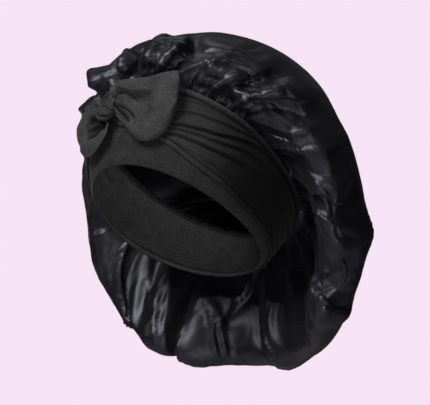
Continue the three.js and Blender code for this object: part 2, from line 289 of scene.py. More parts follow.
def jersey_material(name, dark, light):
    """Heathered knit: two sizes of noise choose between two greys, ribs and fuzz are bumps."""
    material, shader, node, join = new_material(name)
    place = node("ShaderNodeTexCoord")
    heather = node("ShaderNodeTexNoise", Scale=650.0, Detail=3.0, Roughness=0.75)
    cloudy = node("ShaderNodeTexNoise", Scale=70.0, Detail=2.0)
    join(place.outputs["Object"], heather.inputs["Vector"])
    join(place.outputs["Object"], cloudy.inputs["Vector"])
    both = node("ShaderNodeMath", operation="MULTIPLY_ADD")
    both.inputs[1].default_value = 0.3
    join(cloudy.outputs["Fac"], both.inputs[0])
    join(heather.outputs["Fac"], both.inputs[2])
    ramp = node("ShaderNodeValToRGB")
    ramp.color_ramp.elements[0].position = 0.42
    ramp.color_ramp.elements[0].color = (*dark, 1)
    ramp.color_ramp.elements[1].position = 0.88
    ramp.color_ramp.elements[1].color = (*light, 1)
    join(both.outputs["Value"], ramp.inputs["Fac"])
    # The colour is multiplied by the tone attribute, which is painted light and shade.
    knit = node("ShaderNodeAttribute", attribute_name="painted_shading")
    painted_shading = node("ShaderNodeVectorMath", operation="MULTIPLY")
    join(ramp.outputs["Color"], painted_shading.inputs[0])
    join(knit.outputs["Vector"], painted_shading.inputs[1])
    join(painted_shading.outputs["Vector"], shader.inputs["Base Color"])
    ribs = node("ShaderNodeTexWave", Scale=330.0, Distortion=1.2, Detail=1.0)
    ribs.inputs["Detail Scale"].default_value = 2.0
    join(place.outputs["UV"], ribs.inputs["Vector"])
    fuzz = node("ShaderNodeMath", operation="MULTIPLY_ADD")
    fuzz.inputs[1].default_value = 0.35
    join(ribs.outputs["Fac"], fuzz.inputs[0])
    join(heather.outputs["Fac"], fuzz.inputs[2])
    bump = node("ShaderNodeBump", Strength=0.35, Distance=0.0006)
    join(fuzz.outputs["Value"], bump.inputs["Height"])
    join(bump.outputs["Normal"], shader.inputs["Normal"])
    shader.inputs["Roughness"].default_value = 0.92
    shader.inputs["Specular IOR Level"].default_value = 0.16
    shader.inputs["Sheen Weight"].default_value = 0.04
    shader.inputs["Sheen Roughness"].default_value = 0.45
    return material


def dress(piece, painted_shading):
    """Gives a piece the jersey, and stores on its points the tone that its colour is multiplied by.

    The tone is painted light and shade: darker in creases and where shade falls, lighter where
    light falls. It is one number, or a grid of them that serves both faces of a sheet.
    """
    count = len(piece.data.vertices)
    tones = np.resize(np.ravel(painted_shading), count).astype(np.float32)
    layer = piece.data.attributes.new("painted_shading", "FLOAT_VECTOR", "POINT")
    layer.data.foreach_set("vector", np.repeat(tones, 3))
    piece.data.materials.append(jersey)


jersey = jersey_material("charcoal_jersey", (0.015, 0.015, 0.0155), (0.078, 0.078, 0.079))
print("made", jersey.name)

# %% [markdown]
# ## Satin
#
# Satin's long floats of thread lie side by side, so it shines like a row of fine rods: wide
# soft highlights that run across a fold and stop suddenly. A near-black base, a moderate
# roughness and some anisotropy give that. A mirror-like coat would look like wet plastic, and a
# rough one like rubber, so the roughness stays between the two and drifts a little from place
# to place. The weave is only just visible, as fine lines that run round the bag.


# %% The satin material
def satin_material(name, colour):
    """Black satin: a dark base, a shine that drifts in roughness, weave lines and unevenness."""
    material, shader, node, join = new_material(name)
    place = node("ShaderNodeTexCoord")
    shift = node("ShaderNodeTexNoise", Scale=45.0, Detail=3.0)
    join(place.outputs["Object"], shift.inputs["Vector"])
    ramp = node("ShaderNodeValToRGB")
    ramp.color_ramp.elements[0].position = 0.3
    ramp.color_ramp.elements[0].color = (*[c * 0.75 for c in colour], 1)
    ramp.color_ramp.elements[1].position = 0.75
    ramp.color_ramp.elements[1].color = (*[c * 1.25 for c in colour], 1)
    join(shift.outputs["Fac"], ramp.inputs["Fac"])
    join(ramp.outputs["Color"], shader.inputs["Base Color"])
    floats = node("ShaderNodeTexWave", Scale=420.0, Distortion=0.8, Detail=1.0)
    floats.bands_direction = "Y"
    join(place.outputs["UV"], floats.inputs["Vector"])
    creases = node("ShaderNodeTexNoise", Scale=70.0, Detail=6.0, Roughness=0.65)
    join(place.outputs["Object"], creases.inputs["Vector"])
    fine = node("ShaderNodeBump", Strength=0.12, Distance=0.0003)
    join(floats.outputs["Fac"], fine.inputs["Height"])
    broad = node("ShaderNodeBump", Strength=0.14, Distance=0.003)
    join(creases.outputs["Fac"], broad.inputs["Height"])
    join(fine.outputs["Normal"], broad.inputs["Normal"])
    join(broad.outputs["Normal"], shader.inputs["Normal"])
    rough = node("ShaderNodeMapRange")
    rough.inputs["To Min"].default_value = 0.33
    rough.inputs["To Max"].default_value = 0.46
    join(shift.outputs["Fac"], rough.inputs["Value"])
    join(rough.outputs["Result"], shader.inputs["Roughness"])
    shader.inputs["Specular IOR Level"].default_value = 0.52
    shader.inputs["Specular Tint"].default_value = (0.84, 0.85, 1.0, 1)
    shader.inputs["Anisotropic"].default_value = 0.4
    shader.inputs["Sheen Weight"].default_value = 0.03
    return material


satin = satin_material("black_satin", (0.0065, 0.0065, 0.0092))
print("made", satin.name)

# %% [markdown]
# ## The headband
#
# The band is a ring of doubled jersey. Its section is a thin closed outline: up the outside,
# round the top, down the inside, with a rolled hem a few millimetres tall at the face edge. The
# section is carried once round the clock. Jersey held on a head is never quite smooth, so soft
# ripples that run with the stretch are added to the section.

# %% The headband
BAND_REAR = rows_of(
    "clock height",
    (0, 74), (45, 73), (75, 69), (100, 62), (130, 57), (180, 57), (230, 60), (270, 66), (315, 71),
)
JERSEY = 2.0  # thickness of the doubled band
BAND_GRID = (480, 96)  # points round the clock, and round the section


def band_rear(clock):
    """Height of the band's rear edge, where the satin is sewn on."""
    return follow(BAND_REAR, "height", clock)


def headband():
    """A closed outline carried round: u is the clock, v runs up the outside and down the inside."""
    u = np.linspace(0, 360, BAND_GRID[0], endpoint=False)[:, None]
    v = np.linspace(0, 1, BAND_GRID[1], endpoint=False)[None, :]
    share = np.clip(np.where(v < 0.5, (v - 0.03) / 0.42, (0.95 - v) / 0.42), 0, 1)
    height = share * band_rear(u)
    turn = np.where(v < 0.25, ease(v / 0.06), 1 - ease((v - 0.45) / 0.1))
    turn = np.where(v > 0.94, 0.0, turn)
    hem = ridge(height, 3.2, 2.8) - 0.45 * ridge(height, 7.2, 0.8)
    slack = 0.7 * ripple(u / 9, height / 24, 3) * ease(height / 15)
    wrinkle = 1.6 * ridge(height - 0.25 * (u - 305), 30, 5) * ridge(u, 305, 14)
    wrinkle += 1.3 * ridge(height - 0.2 * (u - 292), 46, 4) * ridge(u, 296, 14)
    outside = JERSEY + 0.8 * hem + 0.4 * slack
    inside = -1.7 * hem + slack - wrinkle
    edge = 0.8 * np.sin(np.pi * turn)
    high = height + np.where(share >= 1, edge, 0) - np.where(share <= 0, edge * 1.4, 0)
    return on_head(u, high, inside + (outside - inside) * turn)


band = tube("headband_jersey", headband())
section = np.linspace(0, 1, BAND_GRID[1], endpoint=False)
# Painted shade and light: the band's outside is painted darker than the bow, as shade, and its inside
# face, seen through the opening, is painted several times lighter, as light.
inside_painted_light = np.tile(ease((section - 0.46) / 0.08) * ease((1 - section) / 0.04), BAND_GRID[0])
dress(band, 0.53 + 1.75 * inside_painted_light)

# %% [markdown]
# ## The gathered seam
#
# Where bag and band meet, a narrow casing hides the elastic. Only a thin puckered roll of it
# shows, so it is a ring with a small round section whose radius swells and shrinks between
# gathers.

# %% The gathered seam
GATHERS = 84  # puckers of the casing, all the way round
ROLL = 2.1  # radius of the casing
SEAM_GRID = (720, 12)  # points round the clock, and round the section


def seam_roll():
    """A small circle carried round the rear edge; its radius beats with the gathers."""
    u = np.linspace(0, 360, SEAM_GRID[0], endpoint=False)[:, None]
    turn = np.linspace(0, 2 * np.pi, SEAM_GRID[1], endpoint=False)[None, :]
    beat = np.abs(np.sin(np.radians(GATHERS * u / 2) + 0.5 * ripple(u / 14, 0, 5)))
    radius = ROLL * (0.92 + 0.08 * beat)
    height = band_rear(u) + ROLL + 0.5 + radius * np.sin(turn)
    return on_head(u, height, 0.9 + radius * np.cos(turn))


seam = tube("gathered_seam", seam_roll()[:, ::-1])
dress(seam, 0.8)

# %% [markdown]
# ## The satin bag, as it would be blown up
#
# The bag is worked out from curves that leave the seam outward, swell to a wide rim and close
# at the back. How far the rim reaches, how far it leans and how full the cloth is before it are
# a short table round the clock. A place on the bag is two numbers: the clock, and the run, which
# is 0 at the seam, 1 at the rim and 2 at the middle of the back. A ball pulled out of shape
# could be sculpted instead, but then nothing could say where the seam or the rim is.

# %% The smooth form of the bag
BAG_CENTRE = np.array([0.0, 62.0, 28.0])
BAG_TILT = 20.0
BAG_DEPTH = 95.0
BAG_ROUND = 2.5
AXIS = np.array([0.0, np.cos(np.radians(BAG_TILT)), np.sin(np.radians(BAG_TILT))])
SPOKE = np.array([0.0, -np.sin(np.radians(BAG_TILT)), np.cos(np.radians(BAG_TILT))])
BAG_RIM = rows_of(
    "clock reach shift full",
    (0, 178, -28, 0.45), (45, 173, -11, 0.38), (90, 155, 4, 0.26), (135, 170, -8, 0.34),
    (180, 177, 36, 0.50), (225, 169, -38, 0.45), (270, 180, -28, 0.42), (315, 166, -28, 0.45),
)


def smooth_bag(clock, run):
    """Run 0 to 1: a cubic curve from seam to rim. Run 1 to 2: a rounded box to the back."""
    clock, run = np.broadcast_arrays(clock, run)
    angle = np.radians(clock)
    spoke = np.cos(angle)[..., None] * SPOKE + np.sin(angle)[..., None] * SIDE
    reach = follow(BAG_RIM, "reach", clock)[..., None]
    shift = follow(BAG_RIM, "shift", clock)[..., None]
    full = follow(BAG_RIM, "full", clock)[..., None]
    start = on_head(clock, band_rear(clock) + 2 * ROLL + 1.4, 0)
    rim = BAG_CENTRE + spoke * reach + AXIS * shift
    leave = 0.85 * (np.cos(angle)[..., None] * FORWARD + np.sin(angle)[..., None] * SIDE)
    leave = leave + 0.6 * UPWARD
    leave = leave / np.linalg.norm(leave, axis=-1, keepdims=True)
    length = np.linalg.norm(rim - start, axis=-1, keepdims=True)
    swell = (0.45 - 0.2 * ridge(clock, 85, 45))[..., None]
    near, far = start + leave * swell * length, rim - AXIS * full * length
    t = np.clip(run, 0, 1)[..., None]
    front = start * (1 - t) ** 3 + 3 * near * t * (1 - t) ** 2 + 3 * far * t * t * (1 - t)
    front = front + rim * t**3
    turn = np.clip(run - 1, 0, 1)[..., None] * np.pi / 2
    c = np.clip(np.cos(turn), 0, 1) ** (2 / BAG_ROUND)
    s = np.clip(np.sin(turn), 0, 1) ** (2 / BAG_ROUND)
    back = BAG_CENTRE + spoke * reach * c + AXIS * (shift + (BAG_DEPTH - shift) * s)
    return np.where(run[..., None] <= 1, front, back)


# %% [markdown]
# ## Folds as lines on the bag
#
# A fold is easiest to place as a line on the bag: a few stops, each a clock and a run, joined
# smoothly. What it looks like is its profile across the line. A dome and a hollow are soft; a
# ridge and a groove are pinched; a step climbs on one side and drops sharply on the other, as
# cloth does where it laps over itself. A line is only known at its samples, so its height dips
# a little between them, most on a narrow crease. More samples would even it out. Broad folds
# are laid before the cloth settles, and sharp creases after, so that they stay sharp.

# %% Height of a fold line
DEGREE, RUN = 2.5, 135.0  # millimetres that one degree and one run stand for
SAMPLES = 14  # samples of a line for each of its stops


def across_line(distance, side, kind, wide):
    """Profile of a fold, 1 at its line. Side is the signed distance for a step."""
    if kind == "soft":
        return np.exp(-((distance / wide) ** 2))
    if kind == "pinched":
        return np.exp(0.25 - np.sqrt((distance / wide) ** 2 + 0.0625))
    high = np.exp(-np.maximum(side, 0) / wide)
    low = 1 - ease(-side / 1.8) * (1 + 0.35 * np.exp(side / wide))
    return np.where(side > 0, high, low * np.exp(np.minimum(side + 3, 0) / wide))


def fold(kind, tall, wide, *path, high_side=1):
    """One fold line: its profile, its height and width in millimetres, and its stops."""
    return {"kind": kind, "tall": tall, "wide": wide, "path": path, "high_side": high_side}


def fold_lift(p, q, folds, scale=(DEGREE, RUN), loop=360.0):
    """Sum of fold lines: each point takes the profile at its distance from the nearest sample.

    The height also falls off with the distance along the line, so it dips between two samples:
    to about half for a crease 3 mm wide whose samples are 3 mm apart. Scale turns p and q
    into millimetres. The high side of a step is right of the walk.
    """
    p, q = np.broadcast_arrays(p, q)
    total = np.zeros(p.shape)
    for one in folds:
        stops = [{"k": k, "p": a, "q": b} for k, (a, b) in enumerate(one["path"])]
        k = np.linspace(0, len(stops) - 1, SAMPLES * len(stops))
        line = np.stack([follow(stops, name, k, "k", None) for name in ("p", "q")], 1) * scale
        middle = line[:, 0].mean() / scale[0]
        off = (p - middle + loop / 2) % loop - loop / 2 if loop else p - middle
        near = np.abs(off * scale[0]) < np.ptp(line[:, 0]) / 2 + 3 * one["wide"] + 4
        here = np.stack([(off + middle)[near] * scale[0], q[near] * scale[1]], 1)
        offset = here[:, None] - line
        gap = np.linalg.norm(offset, axis=-1)
        best = gap.argmin(1)
        pick = np.arange(len(best))
        walk = np.gradient(line, axis=0)
        walk = (walk / np.linalg.norm(walk, axis=1, keepdims=True))[best]
        offset, gap = offset[pick, best], gap[pick, best]
        right = offset[:, 0] * walk[:, 1] - offset[:, 1] * walk[:, 0]
        beyond = np.abs((offset * walk).sum(1))
        part = k[best] / k[-1]
        fade = ease(part / 0.25 + 0.08) * ease((1 - part) / 0.25 + 0.08) * np.exp(-beyond / 4)
        side = np.sign(right) * gap * one["high_side"]
        total[near] += one["tall"] * across_line(gap, side, one["kind"], one["wide"]) * fade
    return total


pinch = fold("pinched", 1, 3, (0, 0.2), (0, 0.8))
away = np.array([0, 3, 9]) / DEGREE
print("a crease of height 1, midway between samples, at 0, 3 and 9 mm from its line:")
print(fold_lift(away, np.full(3, 0.5), [pinch]).round(2))

# %% [markdown]
# ## The broad folds
#
# The satin is drawn up all round the seam and has room only toward the rim, so it falls into
# long folds that run outward: pillows over the brow, and a deep hollow behind the left ear.
# These are wide enough for a coarse grid. Each is one line of the list, so that a single fold
# can be moved or left out.

# %% The broad folds
BROAD_FOLDS = [
    fold("soft", 12, 16, (318, 0.08), (319, 0.45)),
    fold("pinched", -20, 5, (330, 0.0), (331, 0.3), (331, 0.7)),
    fold("soft", 14, 13, (342, 0.1), (341, 0.45)),
    fold("pinched", -20, 5, (354, 0.0), (356, 0.3), (356, 0.7)),
    fold("soft", 11, 9, (4, 0.1), (5, 0.5)),
    fold("pinched", -16, 5, (11, 0.02), (9, 0.3), (9, 0.7)),
    fold("soft", 10, 13, (20, 0.15), (17, 0.4), (12, 0.8)),
    fold("step", 9, 16, (28, 0.0), (28, 0.4), (16, 1.0), high_side=-1),
    fold("soft", -6, 9, (31, 0.1), (31, 0.4), (21, 0.9)),
    fold("soft", -5, 9, (37, 0.45), (32, 0.8)),
    fold("soft", 5, 12, (50, 0.3), (43, 0.55), (30, 1.1)),
    fold("soft", -4, 8, (44, 0.5), (36, 0.9)),
    fold("soft", -9, 11, (57, 0.35), (52, 0.75), (49, 1.1)),
    fold("soft", 9, 10, (64, 0.2), (60, 0.47), (57, 0.8), (58, 1.2)),
    fold("soft", -9, 12, (69, 0.22), (65, 0.5), (65, 0.8), (69, 1.1)),
    fold("soft", 4, 16, (82, 0.5), (78, 1.2)),
    fold("soft", 4, 9, (98, 0.55), (93, 1.15)),
    fold("soft", -6, 8, (98, 0.7), (97, 1.2)),
    fold("soft", -9, 13, (105, 0.7), (104, 0.95), (109, 1.25)),
    fold("soft", 6, 8, (118, 0.4), (112, 0.8), (118, 1.2)),
    fold("soft", -28, 22, (131, 0.5), (127, 0.9), (131, 1.15)),
    fold("soft", 7, 10, (146, 0.5), (140, 0.9), (145, 1.3)),
    fold("soft", 6, 12, (176, 0.3), (160, 0.6), (150, 1.1)),
    fold("soft", -8, 10, (167, 0.35), (159, 0.63), (156, 1.0)),
    fold("soft", 12, 14, (187, 0.25), (182, 0.55), (174, 1.1)),
    fold("soft", -7, 6, (193, 0.28), (188, 0.48), (183, 0.8)),
    fold("soft", 5, 12, (200, 0.2), (199, 0.45)),
    fold("soft", -5, 12, (197, 0.62), (193, 0.95)),
    fold("soft", 5, 12, (208, 0.5), (203, 1.0)),
    fold("soft", -11, 6, (217, 0.2), (213, 0.57), (210, 1.1)),
    fold("soft", 6, 9, (222, 0.35), (217, 0.6), (214, 1.0)),
    fold("soft", 6, 11, (232, 0.2), (224, 0.6), (219, 1.0)),
    fold("soft", -4, 9, (237, 0.35), (230, 0.56), (226, 0.8)),
    fold("soft", -7, 8, (248, 0.35), (241, 0.6), (234, 0.85)),
    fold("soft", 5, 22, (262, 0.2), (255, 1.0)),
    fold("soft", -5, 16, (278, 0.2), (276, 1.2)),
    fold("soft", -5, 14, (304, 0.2), (300, 1.3)),
    fold("soft", 10, 18, (370, 1.2), (350, 1.8)),
    fold("soft", -10, 16, (60, 1.3), (80, 1.85)),
    fold("soft", 10, 18, (110, 1.2), (130, 1.8)),
    fold("soft", -10, 14, (170, 1.2), (185, 1.8)),
    fold("soft", 10, 18, (225, 1.2), (215, 1.8)),
    fold("soft", -10, 16, (265, 1.2), (280, 1.8)),
]
print("broad folds:", len(BROAD_FOLDS))

# %% [markdown]
# ## The sharp creases
#
# Satin is crisp. Where a fold turns tightly it leaves a narrow ridge, and where it laps over its
# neighbour it leaves a step with a dark line under it. Such creases catch the light most. Many
# are narrower than the squares of the coarse grid, so this list waits until the cloth has
# settled and its grid is finer.

# %% The sharp creases
SHARP_FOLDS = [
    fold("step", 4.0, 9, (27, 0.06), (27, 0.4), (15, 1.0), high_side=-1),
    fold("pinched", 2.2, 3, (6, 0.04), (7, 0.26), (9, 0.45)),
    fold("pinched", 2.4, 2.5, (38, 0.18), (39, 0.44), (32, 0.8)),
    fold("pinched", 2.0, 2.5, (48, 0.08), (46, 0.3), (41, 0.5)),
    fold("pinched", 2.2, 2.5, (50, 0.12), (43, 0.42), (38, 0.62)),
    fold("pinched", 2.2, 3, (54, 0.1), (52, 0.39), (46, 0.65)),
    fold("step", 3.2, 8, (57, 0.3), (49, 0.7), (46, 1.05), high_side=-1),
    fold("step", 4.0, 8, (66, 0.18), (61, 0.5), (60, 0.8), (63, 1.1), high_side=-1),
    fold("pinched", 2.2, 3, (69, 0.1), (67, 0.35), (64, 0.6)),
    fold("pinched", 2.0, 4, (75, 0.1), (78, 0.35), (77, 0.6)),
    fold("pinched", 2.6, 2, (79, 0.5), (74, 0.75), (70, 1.0)),
    fold("pinched", 2.2, 4, (86, 0.06), (85, 0.33), (78, 0.7)),
    fold("pinched", 2.6, 2, (93, 0.1), (90, 0.27), (85, 0.55), (80, 0.85), (79, 1.15)),
    fold("step", 3.0, 6, (102, 0.05), (112, 0.16), (106, 0.5), high_side=-1),
    fold("pinched", 2.0, 3, (103, 0.1), (104, 0.27), (99, 0.55)),
    fold("step", 3.0, 8, (112, 0.35), (99, 0.75), (99, 1.15), high_side=-1),
    fold("pinched", 3.2, 2.2, (130, 0.15), (111, 0.6), (108, 0.85), (112, 1.05), (121, 1.2)),
    fold("pinched", 2.4, 3, (135, 0.2), (118, 0.6), (114, 0.9)),
    fold("pinched", -3.0, 2.5, (162, 0.2), (154, 0.4), (138, 0.7)),
    fold("pinched", -2.6, 2.2, (158, 0.2), (149, 0.5)),
    fold("step", 6.5, 10, (145, 0.5), (136, 0.85), (141, 1.2)),
    fold("pinched", 2.4, 4, (184, 0.2), (173, 0.38), (152, 0.65), (146, 1.1)),
    fold("pinched", 2.6, 2.5, (194, 0.3), (187, 0.48), (183, 0.63), (175, 0.9)),
    fold("step", 5.5, 9, (195, 0.3), (194, 0.43), (197, 0.5), (202, 0.62)),
    fold("pinched", 4.5, 4, (211, 0.54), (206, 0.49), (201, 0.48), (197, 0.5)),
    fold("pinched", 4.2, 2.0, (208, 0.5), (203, 0.61), (199, 0.85)),
    fold("pinched", 4.2, 2.0, (206, 0.5), (200, 0.62), (196, 0.84)),
    fold("step", 6.5, 9, (217, 0.1), (212, 0.57), (208, 1.1), high_side=-1),
    fold("pinched", 2.4, 3, (227, 0.4), (219, 0.6), (214, 0.85)),
    fold("pinched", 2.0, 2.5, (230, 0.45), (222, 0.66), (217, 0.85)),
    fold("pinched", 2.2, 2.5, (240, 0.4), (232, 0.54), (225, 0.65)),
    fold("step", 5.0, 9, (252, 0.3), (246, 0.6), (238, 0.75), (231, 0.95)),
    fold("pinched", 1.6, 3, (268, 0.76), (263, 0.63), (259, 0.52)),
]
print("sharp creases:", len(SHARP_FOLDS))


# %% [markdown]
# ## Gathers
#
# The bag's edge is far longer than the seam, so it is drawn up in small gathers there. Between
# two of them the cloth stands up in a rounded lobe, and where they meet it is nipped to a line.
# So a gather is not a plain sine wave: most of it is the size of a sine, which has sharp
# valleys. Pace and height are uneven, and the gathers lean and die away from the seam.


# %% Gathers at the seam
def walked_from_seam(grid):
    """Distance of each point of a grid from its seam, measured along its own column."""
    steps = np.linalg.norm(np.diff(grid, axis=1), axis=-1)
    return np.concatenate([np.zeros((len(grid), 1)), np.cumsum(steps, 1)], 1)


GATHER_SLANT = 0.13  # degrees of clock that a gather drifts back in each millimetre
LAST_RUN = 1.985  # run of the last ring, which a fan closes
BAG_GRID = (280, 43)  # points round the clock, and from the seam to the last ring


def gathers(clock, walked, count, height, reach, seed):
    """Lobes round the seam with nipped valleys, uneven in pace and height, that fade outward."""
    turn = np.radians(clock + GATHER_SLANT * walked)
    pace = count * turn + 2.6 * ripple(turn * 12, walked / 110, seed)
    pace = pace + 0.9 * ripple(turn * 31, walked / 70, seed + 1)
    uneven = 1 + 0.85 * ripple(turn * 17, walked / 140, seed + 2)
    fade = ease(walked / 9) * np.exp(-walked / reach)
    fade = fade * (1 - 0.85 * ridge((clock + 15 + 180) % 360 - 180, 0, 36))
    lobes = 1.3 * np.abs(np.sin(pace / 2)) - 0.8 + 0.35 * np.sin(pace)
    return height * uneven * fade * lobes


def calm_rim(clock, run):
    """Share of a fold that is left: a quarter less on the left side's rim, which is tauter."""
    return 1 - 0.25 * ridge(run, 1.08, 0.27) * ease(clock / 20) * ease((170 - clock) / 15)


def bag_map(columns, rows):
    """Clock and run of a grid on the bag, with its rows closer together at the seam."""
    u = np.linspace(0, 360, columns, endpoint=False)[:, None]
    return u, (np.linspace(0, 1, rows) ** 1.25 * LAST_RUN)[None, :]


def bag_grid(columns, rows):
    """The smooth form pushed out along its normals by the broad folds and the wide gathers."""
    u, v = bag_map(columns, rows)
    base = smooth_bag(u, v)
    walked = walked_from_seam(base)
    wide_gathers = gathers(u, walked, 29, 4.8, 38, 71) * (1 - 0.5 * ridge(u, 225, 45))
    lift = (fold_lift(u, v, BROAD_FOLDS) + wide_gathers) * calm_rim(u, v)
    return base + normals_of(base, True) * lift[..., None]


coarse = bag_grid(*BAG_GRID)
print("bag before it relaxes, mm:", np.ptp(coarse.reshape(-1, 3), axis=0).round(0).tolist())

# %% [markdown]
# ## Letting the satin settle
#
# Drawn folds look drawn. A real bag is cut as a flat disc, far wider than the seam it is
# gathered onto, so it holds spare cloth that finds its own creases: many near the seam, few at
# the rim. The cloth solver does the same. It is told to grow the cloth by a few per cent, most
# of all near the seam. A light pull holds the cloth close to the drawn form, and a stronger one
# keeps the pillows over the brow, so the spare length has to buckle in between. With a coarse
# grid and a short run this takes seconds, and nothing in it is random.


# %% Relax the bag with the cloth solver
def relax(grid, near=0.05, far=0.015, guide=0.14, frames=26):
    """Grows the cloth by near at the seam, fading to far; seam and pole held, the rest guided."""
    rows, cols = grid.shape[:2]
    index = np.arange(rows * cols).reshape(rows, cols)
    ring = np.concatenate([index, index[:1]])
    faces = squares(ring).reshape(-1, 4).tolist()
    mesh = bpy.data.meshes.new("relaxing")
    mesh.from_pydata((grid.reshape(-1, 3) * 0.01).tolist(), [], faces)
    piece = bpy.data.objects.new("relaxing", mesh)
    bpy.context.scene.collection.objects.link(piece)
    walked = walked_from_seam(grid)
    run = np.broadcast_to(np.linspace(0, 1, cols)[None, :], (rows, cols))
    clock = np.linspace(0, 360, rows, endpoint=False)[:, None]
    pull = guide + 0.5 * ridge((clock + 20 + 180) % 360 - 180, 0, 40) * (1 - ease(run / 0.5))
    pull = pull + (1 - pull) * (1 - ease(run / 0.04) + ease((run - 0.85) / 0.13))
    for name, weight in (("hold", pull), ("settled", 1 - np.exp(-walked / 45))):
        group = piece.vertex_groups.new(name=name)
        weight = (weight * 100).round() / 100
        for level in np.unique(weight):
            group.add(index[weight == level].ravel().tolist(), float(level), "REPLACE")
    solver = piece.modifiers.new("cloth", "CLOTH")
    settings = solver.settings
    settings.quality = 6
    settings.mass = 0.15
    settings.air_damping = 3.0
    settings.tension_stiffness = settings.compression_stiffness = 25
    settings.shear_stiffness = 8
    settings.bending_stiffness = 0.08
    settings.vertex_group_mass = "hold"
    settings.pin_stiffness = 1.5
    settings.vertex_group_shrink = "settled"
    settings.shrink_min, settings.shrink_max = -near, -far
    settings.effector_weights.gravity = 0.12
    solver.collision_settings.use_collision = False
    solver.point_cache.frame_start, solver.point_cache.frame_end = 1, frames
    scene = bpy.context.scene
    for number in range(1, frames + 1):
        scene.frame_set(number)
    settled = piece.evaluated_get(bpy.context.evaluated_depsgraph_get()).to_mesh()
    flat = np.empty(rows * cols * 3, np.float32)
    settled.vertices.foreach_get("co", flat)
    scene.frame_set(1)
    bpy.data.objects.remove(piece)
    return flat.reshape(rows, cols, 3).astype(float) * 100


relaxed = relax(coarse)
moved = np.linalg.norm(relaxed - coarse, axis=-1)
print("satin moved, mm: most", moved.max().round(1), "mean", moved.mean().round(2))


# %% [markdown]
# ## Finer cloth, small gathers and sharp creases
#
# The solver works on a coarse grid to be quick. The settled cloth is then doubled both ways and
# smoothed, as a subdivision modifier would do, but in numpy, so that the clock and the run of
# every new point are still known. The smallest gathers and the sharp creases are laid on last,
# because the solver would have smoothed them away.


# %% Double the grid and pucker the seam
SATIN_CLOTH = 0.8  # thickness of the satin


def refine(grid):
    """One smooth doubling both ways: new points at midpoints, old ones pulled to neighbours."""
    mid = (grid + np.roll(grid, -1, 0)) / 2
    old = (np.roll(grid, 1, 0) + 6 * grid + np.roll(grid, -1, 0)) / 8
    grid = np.stack([old, mid], 1).reshape(-1, *grid.shape[1:])
    mid = (grid[:, :-1] + grid[:, 1:]) / 2
    old = grid.copy()
    old[:, 1:-1] = (grid[:, :-2] + 6 * grid[:, 1:-1] + grid[:, 2:]) / 8
    found = np.empty((grid.shape[0], 2 * grid.shape[1] - 1, 3))
    found[:, ::2], found[:, 1::2] = old, mid
    return found


def sharpen(grid):
    """Small gathers close to the seam, the sharp creases, and faint creases that run outward."""
    u, v = bag_map(*grid.shape[:2])
    walked = walked_from_seam(grid)
    lift = gathers(u, walked, 66, 3.0, 19, 61) + gathers(u, walked, 120, 1.2, 8, 81)
    lift = lift + 1.7 * fold_lift(u, v, SHARP_FOLDS) * calm_rim(u, v)
    bent = u * DEGREE / 9 + 1.2 * ripple(u / 14, v * 5, 91)
    faint = 1 - np.abs(ripple(bent, v * 3.2 + 0.8 * ripple(u / 10, v * 6, 92), 93))
    patchy = ease(0.5 + 0.5 * ripple(u / 17, v * 4, 94))
    inner = ease(walked / 20) * ease((2 - v) / 0.5)
    lift = lift + 0.5 * np.clip(faint, 0, 1) ** 3 * patchy * inner
    return grid + normals_of(grid, True) * lift[..., None]


bag = cloth("satin_bag", sharpen(refine(relaxed)), SATIN_CLOTH, loop=True, pole=True)
bag.data.materials.append(satin)

# %% [markdown]
# ## The ties
#
# Each tie is a strip of the same jersey. It is taken to be sewn at the nape. It lies flat over
# the ear and bunches up toward the knot, which throws long pleats. A pleat is not a round wave: the cloth
# climbs softly and then drops in a sharp step over the layer below. Both long edges are turned
# over and stitched, and the rear one has rolled into a cord. Each pleat is a line of heights on
# the band, so that all of them can run together toward the knot and spread over the ear. The
# tone is painted shade and light: it falls as painted shade under a pleat, beside the cord, in
# the hem's groove and toward the ear, where the tie turns from the light, and it rises as a
# painted highlight on the cord and the hem's edge.

# %% The ties
TIE = rows_of(
    "away low high",
    (4, 35, 48), (10, 31, 60), (20, 27, 72), (37, 22, 77), (59, 13, 75), (76, 10, 72),
    (91, 7, 67), (112, 6, 62), (140, 5, 60), (179.6, 4, 60),
)
# Height of each pleat at these angles away from the knot, and how tall its step is
PLEATS = rows_of(
    "at10 at30 at60 at90 at130 tall",
    (42, 37, 45, 59, 53, 3.0), (39, 34, 39, 49, 44, 2.0), (36, 30, 32, 37, 35, 2.8),
    (46, 50, 57, 63, 56, 1.8), (50, 62, 67, 66, 58, 1.2), (34, 27, 22, 21, 18, 0.9),
)
TIE_CLOTH = 1.6
TIE_GRID = (300, 110)  # points along the tie, and across it


